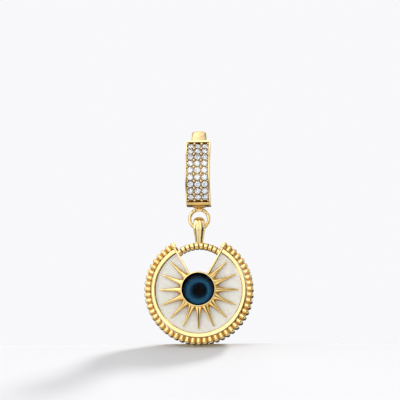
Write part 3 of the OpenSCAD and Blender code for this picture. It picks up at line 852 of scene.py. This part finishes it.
def sector_rings(outline):
    """Rings of a swept outline [radius, depth] from one side of the notch to the other, parallel
    to its walls."""
    inset, count = WALL_T / 2 + WALL_GAP, 150
    rings = []
    for i in range(count + 1):
        ring = []
        for r, d in outline:
            offset = math.degrees(math.asin(inset / r))
            low, high = NOTCH_START + offset, NOTCH_START + NOTCH_SWEEP - offset
            ring.append(on_medallion(r, low + (high - low) * i / count, d))
        rings.append(ring)
    return rings


def smooth_rim():
    """A band with round shoulders and a slightly crowned top."""
    half = (RIM_OUT - RIM_IN) / 2
    middle = RIM_IN + half
    inner = [(RIM_IN + RIM_ROUND * (1 - cos(a)), RIM_TOP - RIM_CROWN - RIM_ROUND * (1 - sin(a)))
             for a in quarter(4)[:-1]]
    top = [(middle + (half - RIM_ROUND) * i / 5, RIM_TOP - RIM_CROWN * (i / 5) ** 2)
           for i in range(-5, 6)]
    outline = inner + top + [(2 * middle - r, d) for r, d in reversed(inner)]
    outline += [(RIM_OUT, -FRONT + RIM_FOOT), (RIM_OUT - RIM_FOOT, -FRONT), (RIM_IN, -FRONT)]
    return smoothed(sweep("smooth_rim", sector_rings(outline)), 40)


def back_plate():
    """The plate behind the inlay, with the hub that carries the sunburst. They share a sliver,
    so that no two faces lie in one plane."""
    inner, outer = HUB_R - 0.003, RIM_IN + 0.01
    outline = [(inner, -FRONT + PLATE_T), (outer, -FRONT + PLATE_T), (outer, -FRONT),
               (inner, -FRONT)]
    plate = sweep("back_plate", sector_rings(outline))
    deselect()
    bpy.ops.mesh.primitive_cylinder_add(vertices=96, radius=HUB_R, depth=FRONT + PEARL_TOP,
                                        location=(0, -(PEARL_TOP - FRONT) / 2, CENTRE_Z),
                                        rotation=(pi / 2, 0, 0))
    return smoothed(joined("back_plate", [plate, placed("hub")]), 30)


def shell_inlay():
    """The shell, softly edged in front, in the field between the hub and the smooth rim."""
    low, high, edge = -FRONT + PLATE_T + PEARL_GAP, PEARL_TOP, PEARL_EDGE
    inner, outer = HUB_R + 0.05, RIM_IN - 0.08
    outline = [(inner, high - edge), (inner + edge, high)]
    outline += [(inner + edge + (outer - inner - 2 * edge) * i / 6, high) for i in range(1, 6)]
    outline += [(outer - edge, high), (outer, high - edge), (outer, low), (inner, low)]
    return smoothed(sweep("shell_inlay", sector_rings(outline)), 25)


def sunburst_rays():
    """One spike with a rounded, hollowed section and a waist, copied round the eye."""
    rings = []
    for r, half, edge, top in RAY:
        crown = []
        for i in range(15):
            a = pi * i / 14
            height = edge + (top - edge) * sin(a) ** RAY_POWER
            crown.append((r, -BURST - height, -half * cos(a)))
        rings.append([(r, -BURST, -half)] + crown + [(r, -BURST, half)])
    places = []
    for i in range(RAYS):
        turn = Matrix.Rotation(-radians(FIRST_RAY + RAY_STEP * i), 4, "Y")
        places.append(Matrix.Translation((0, 0, CENTRE_Z)) @ turn)
    return smoothed(copies(sweep("ray", rings), "sunburst_rays", places), 40)


def eye_bezel():
    """The cup that holds the eye, with a soft lip and a foot that flares among the rays."""
    inner, count = EYE_R + EYE_GAP, 128
    outline = [(inner, BEZEL_TOP - 0.06), (inner + 0.03, BEZEL_TOP - 0.01),
               (inner + 0.08, BEZEL_TOP), (HUB_R - 0.06, BEZEL_TOP - 0.02),
               (HUB_R - 0.02, BEZEL_TOP - 0.07), (HUB_R, BEZEL_TOP - 0.16),
               (HUB_R + 0.015, BURST + 0.5), (HUB_R + 0.05, BURST + 0.3),
               (HUB_R + 0.1, BURST + 0.16), (HUB_R + 0.1, BURST), (BEZEL_HOLE, BURST),
               (BEZEL_HOLE, BURST + BEZEL_FLOOR), (inner, BURST + BEZEL_FLOOR)]
    rings = [[on_medallion(r, 360 * i / count, d) for r, d in outline] for i in range(count)]
    return smoothed(sweep("eye_bezel", rings, closed=True), 40)


def inside_bezel(x, y, z):
    """Whether this is a place within the bezel, below its lip."""
    return math.hypot(x, z - CENTRE_Z) < EYE_R + EYE_GAP + 0.01 and -y < BEZEL_TOP - 0.05


def turned_disc(name, outline, centre=(0.0, 0.0)):
    """A turned disc: its outline starts and ends on the axis, where a point closes each end."""
    shift = Vector((centre[0], 0, centre[1]))
    rings = [[on_medallion(max(r, AXIS_R), 360 * i / 96, d) + shift for i in range(96)]
             for r, d in outline]
    return smoothed(sweep(name, rings), 35)


def eye_glass():
    """The domed glass, thickest in the middle."""
    height = GLASS_TOP - GLASS_EDGE
    ball = (EYE_R ** 2 + height ** 2) / (2 * height)
    half, steps = math.asin(EYE_R / ball), 24
    outline = [(0, GLASS_LOW), (EYE_R - 0.06, GLASS_LOW), (EYE_R, GLASS_LOW + 0.06)]
    for i in range(steps + 1):
        a = half * (1 - i / steps)
        outline.append((ball * sin(a), GLASS_TOP - ball + ball * cos(a)))
    return turned_disc("eye_glass", outline)


def iris_disc():
    outline = [(0, IRIS_LOW), (IRIS_R - 0.03, IRIS_LOW), (IRIS_R, IRIS_LOW + 0.03),
               (IRIS_R, IRIS_HIGH - 0.04), (IRIS_R - 0.04, IRIS_HIGH)]
    outline += [(IRIS_R * s, IRIS_HIGH) for s in (0.8, 0.55, 0.3, 0)]
    return turned_disc("iris_disc", outline)


def pupil_disc():
    outline = [(0, PUPIL_LOW), (PUPIL_R, PUPIL_LOW), (PUPIL_R, PUPIL_EDGE)]
    outline += [(PUPIL_R * sqrt(1 - s * s), PUPIL_EDGE + (PUPIL_HIGH - PUPIL_EDGE) * s)
                for s in (0.4, 0.7, 0.9, 0.98)]
    outline += [(0, PUPIL_HIGH)]
    return turned_disc("pupil_disc", outline, (PUPIL_X, PUPIL_UP))


def build():
    done(bail_hoop(), "hoop", "gold", gold_satin, "bail")
    tray = done(stone_tray(), "hoop", "gold", gold_brushed, "bail")
    # Painted shade in the drilled seats below the stones
    second_material(tray, seat_painted_shade, in_seat)
    done(tray_beads(), "hoop", "gold", gold_plain, "bail")
    done(soldered_ring(), "hoop", "gold", gold_plain, "bail")
    stone = cut_stone()
    for row in range(1, ROWS + 1):
        for col in range(1, COLS + 1):
            piece = brilliant(f"stone_{row}_{col}")
            turn = Matrix.Rotation(radians(STONE_TURN * ((row * 3 + col * 5) % 7)), 4, "Z")
            piece.data.transform(wrap_place((col - 2) * PITCH, (5 - row) * PITCH) @ turn)
            done(piece, "hoop", "diamond", stone, f"pave_stone_{row}_{col}")
    done(medallion_loop(), "medallion", "gold", gold_soft, "fluted_frame")
    # Painted shade and reflection in the coin edge's grooves
    groove_painted_shade(gold_fluted)
    done(coin_edge(), "medallion", "gold", gold_fluted, "fluted_frame")
    bar = done(fluted_bar(), "medallion", "gold", gold_plain, "fluted_frame")
    # Painted shade in the slots between the bar's discs
    second_material(bar, slot_painted_shade, in_slot)
    done(notch_wall("notch_wall_right", 1), "medallion", "gold", gold_plain, "fluted_frame")
    done(notch_wall("notch_wall_left", -1), "medallion", "gold", gold_plain, "fluted_frame")
    done(smooth_rim(), "medallion", "gold", gold_plain, "inlay_tray")
    done(back_plate(), "medallion", "gold", gold_plain, "inlay_tray")
    done(shell_inlay(), "medallion", "mother_of_pearl", mother_of_pearl(), "pearl_inlay")
    # Painted shade at the rays' feet and in the valleys beside the bezel
    sunburst_painted_shade(gold_rays)
    done(sunburst_rays(), "medallion", "gold", gold_rays, "sunburst")
    bezel = done(eye_bezel(), "medallion", "gold", gold_plain, "sunburst")
    second_material(bezel, dark_backing(), inside_bezel)
    done(eye_glass(), "medallion", "blue_glass", clear_glass(), "glass_eye")
    done(iris_disc(), "medallion", "blue_enamel", blue_iris(), "eye_iris")
    done(pupil_disc(), "medallion", "black_enamel", black_pupil(), "eye_pupil")


# ---------------------------------------------------------------- floor, light and camera

def pale_floor():
    """A pale sheet that falls away towards the camera, because the pendant leans back from it."""
    deselect()
    bpy.ops.mesh.primitive_grid_add(x_subdivisions=1, y_subdivisions=40, size=1)
    piece = named("floor")
    for vert in piece.data.vertices:
        along = vert.co.y + 0.5
        y = FLOOR_CREST
        if along < FLOOR_SHARE:
            y -= FLOOR_NEAR * (1 - along / FLOOR_SHARE) ** 3
        else:
            y += FLOOR_FAR * (along - FLOOR_SHARE) / (1 - FLOOR_SHARE)
        z = FLOOR_TOUCH + min(y, FLOOR_CREST) * math.tan(FLOOR_SLOPE)
        z -= FLOOR_FALL * max(0.0, y - FLOOR_CREST) ** FLOOR_FALL_POWER
        vert.co = Vector((vert.co.x * FLOOR_WIDTH, y, z))
    piece.data.transform(Matrix.Scale(MM, 4))
    material, tree, shader = shaded("pale paper")
    grain = noise(tree, object_place(tree), 3000.0)
    fill(tree, shader, {"Base Color": (*PAPER_LIT, 1), "Roughness": 1.0,
                        "Specular IOR Level": 0.0, "Normal": tilted(tree, grain, 0.05)})
    piece.data.materials.append(material)
    piece.visible_glossy = False


def panel(tree, direction, total, aim, half_width, half_height, level):
    """Adds the light of a soft-edged panel to the room's total."""
    aim = Vector(aim).normalized()
    side = aim.cross(Vector((0, 0, 1))).normalized()

    def along(axis):
        return maths(tree, "DOT_PRODUCT", direction, axis, kind="ShaderNodeVectorMath")

    def within(axis, half):
        across = maths(tree, "ABSOLUTE", along(axis))
        return ramp_between(tree, across, half + PANEL_SOFT, half - PANEL_SOFT)

    light = maths(tree, "MULTIPLY", within(side, half_width), within(side.cross(aim), half_height))
    light = maths(tree, "MULTIPLY", light, ramp_between(tree, along(aim), 0.0, 0.05))
    return maths(tree, "MULTIPLY_ADD", light, level, total)


def studio():
    """Lit panels round a dim room, where the camera sees only paper, and a sun that draws the
    floor's shadow."""
    world = bpy.data.worlds.new("studio")
    bpy.context.scene.world = world
    world.use_nodes = True
    tree = world.node_tree
    tree.nodes.clear()
    direction = node(tree, "ShaderNodeTexCoord").outputs["Generated"]
    total = ROOM_LEVEL
    for aim, half_width, half_height, level in PANELS:
        total = panel(tree, direction, total, aim, half_width, half_height, level)
    seen = node(tree, "ShaderNodeBackground", {"Color": (*PAPER_SEEN, 1)}).outputs["Background"]
    room = node(tree, "ShaderNodeBackground", {"Strength": total}).outputs["Background"]
    camera_ray = node(tree, "ShaderNodeLightPath").outputs["Is Camera Ray"]
    mix = node(tree, "ShaderNodeMixShader", {"Fac": camera_ray, 1: room, 2: seen})
    node(tree, "ShaderNodeOutputWorld", {"Surface": mix.outputs["Shader"]})
    sun = bpy.data.lights.new("key", "SUN")
    sun.energy, sun.angle = SUN_POWER, radians(SUN_ANGLE)
    lamp = bpy.data.objects.new("key", sun)
    bpy.context.scene.collection.objects.link(lamp)
    lamp.rotation_euler = Vector(SUN_DIRECTION).to_track_quat("-Z", "Y").to_euler()
    lamp.visible_glossy = lamp.visible_transmission = False
    bpy.context.scene.view_settings.view_transform = "Standard"


def photograph_camera():
    """The photograph's view: from a little below and a little to the right."""
    data = bpy.data.cameras.new("camera")
    data.lens, data.sensor_width = CAMERA_LENS, CAMERA_SENSOR
    data.clip_start, data.clip_end = 0.01, 5.0
    camera = bpy.data.objects.new("camera", data)
    bpy.context.scene.collection.objects.link(camera)
    back = Vector(toward(CAMERA_AZIMUTH, CAMERA_ELEVATION))
    camera.location = (Vector(CAMERA_AIM) + back * CAMERA_DISTANCE) * MM
    camera.rotation_euler = (-back).to_track_quat("-Z", "Y").to_euler()
    bpy.context.scene.camera = camera


build()
pale_floor()
studio()
photograph_camera()
